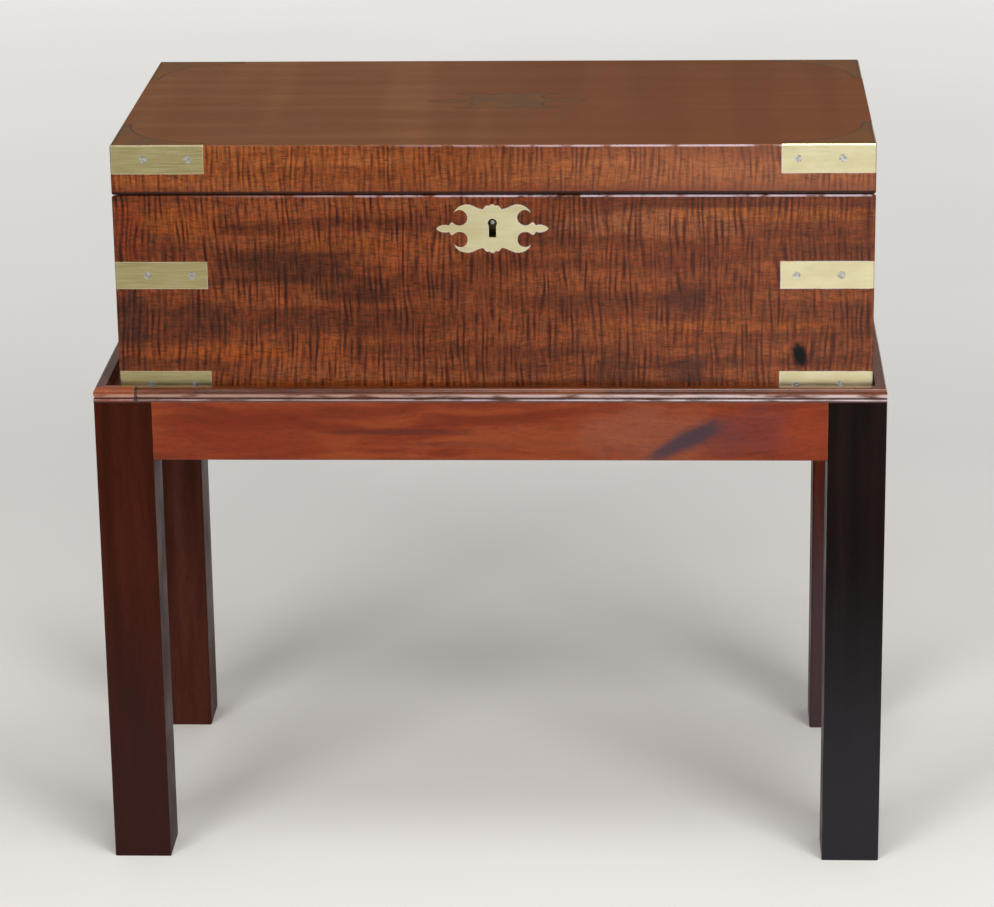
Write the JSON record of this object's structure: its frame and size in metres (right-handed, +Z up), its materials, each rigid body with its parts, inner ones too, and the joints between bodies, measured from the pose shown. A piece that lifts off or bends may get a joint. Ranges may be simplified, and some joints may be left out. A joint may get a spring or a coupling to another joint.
{
  "type": "campaign writing box on stand",
  "caption": "Brass-bound campaign writing box with a slanting lid seam, resting loose on a four-legged mahogany stand with a rim moulding.",
  "frame": {"origin": "on the floor under the middle of the stand", "axes": "+Z up, +X to the right of someone who faces the lock, the lock faces -Y"},
  "size_m": [0.558, 0.294, 0.532],
  "materials": {
    "stand_mahogany": "french polish",
    "dark_leg_mahogany": "french polish",
    "ripple_mahogany": "french polish",
    "lid_top_mahogany": "french polish",
    "interior_mahogany": "waxed",
    "brass": "brushed and lacquered",
    "steel_screws": "dulled",
    "steel_lock": "dulled",
    "inkwell_glass": "clear",
    "writing_leather": "polished skiver"
  },
  "bodies": {
    "stand": {"leg_front_left": "dark_leg_mahogany", "leg_front_right": "dark_leg_mahogany", "leg_back_left": "dark_leg_mahogany", "leg_back_right": "dark_leg_mahogany", "rail_front": "stand_mahogany", "rail_back": "stand_mahogany", "rail_left": "stand_mahogany", "rail_right": "stand_mahogany", "moulding_front": "stand_mahogany", "moulding_front_patch": "stand_mahogany", "moulding_back": "stand_mahogany", "moulding_left": "stand_mahogany", "moulding_right": "stand_mahogany", "corner_braces": "stand_mahogany", "corner_brace_screws": "steel_screws"},
    "box": {"body_front": "ripple_mahogany", "body_back": "ripple_mahogany", "body_left": "ripple_mahogany", "body_right": "ripple_mahogany", "bottom_board": "interior_mahogany", "tray_partition": "interior_mahogany", "tray_shelf": "interior_mahogany", "inkwell_partitions": "interior_mahogany", "pen_tray": "interior_mahogany", "inkwells": "inkwell_glass", "inkwell_caps": "brass", "body_ledges": "interior_mahogany", "upper_writing_board": "interior_mahogany", "upper_leather": "writing_leather", "middle_straps": "brass", "bottom_straps": "brass", "body_strap_screws": "steel_screws", "escutcheon": "brass", "lock_case": "brass", "hinge_leaves_body": "brass", "hinge_pins": "brass", "body_small_screws": "steel_screws", "handle_plate_left": "brass", "handle_plate_right": "brass"},
    "lid": {"lid_top": "lid_top_mahogany", "lid_front": "ripple_mahogany", "lid_back": "ripple_mahogany", "lid_left": "ripple_mahogany", "lid_right": "ripple_mahogany", "cartouche": "brass", "corner_plate_front_left": "brass", "corner_plate_front_right": "brass", "corner_plate_back_left": "brass", "corner_plate_back_right": "brass", "lid_strap_screws": "steel_screws", "lower_writing_board": "interior_mahogany", "lower_leather": "writing_leather", "lid_ledges": "interior_mahogany", "link_plate": "brass", "hinge_leaves_lid": "brass", "lid_small_screws": "steel_screws"},
    "lock_bolt": {"lock_bolt": "steel_lock"},
    "left_bail": {"handle_bail_left": "brass"},
    "right_bail": {"handle_bail_right": "brass"}
  },
  "joints": [
    {"name": "box_lift", "type": "slide", "parent": "stand", "child": "box", "axis": [0, 0, 1], "range_m": [0, 0.2]},
    {"name": "lid_open", "type": "hinge", "parent": "box", "child": "lid", "pos_m": [0.004, 0.1368, 0.44064], "axis": [-1, 0, 0], "range_deg": [0, 170]},
    {"name": "lock_bolt_throw", "type": "slide", "parent": "box", "child": "lock_bolt", "axis": [1, 0, 0], "range_m": [0, 0.0045]},
    {"name": "left_bail_swing", "type": "hinge", "parent": "box", "child": "left_bail", "pos_m": [-0.2566, 0, 0.4197], "axis": [0, 1, 0], "range_deg": [0, 90]},
    {"name": "right_bail_swing", "type": "hinge", "parent": "box", "child": "right_bail", "pos_m": [0.2646, 0, 0.4197], "axis": [0, -1, 0], "range_deg": [0, 90]}
  ]
}
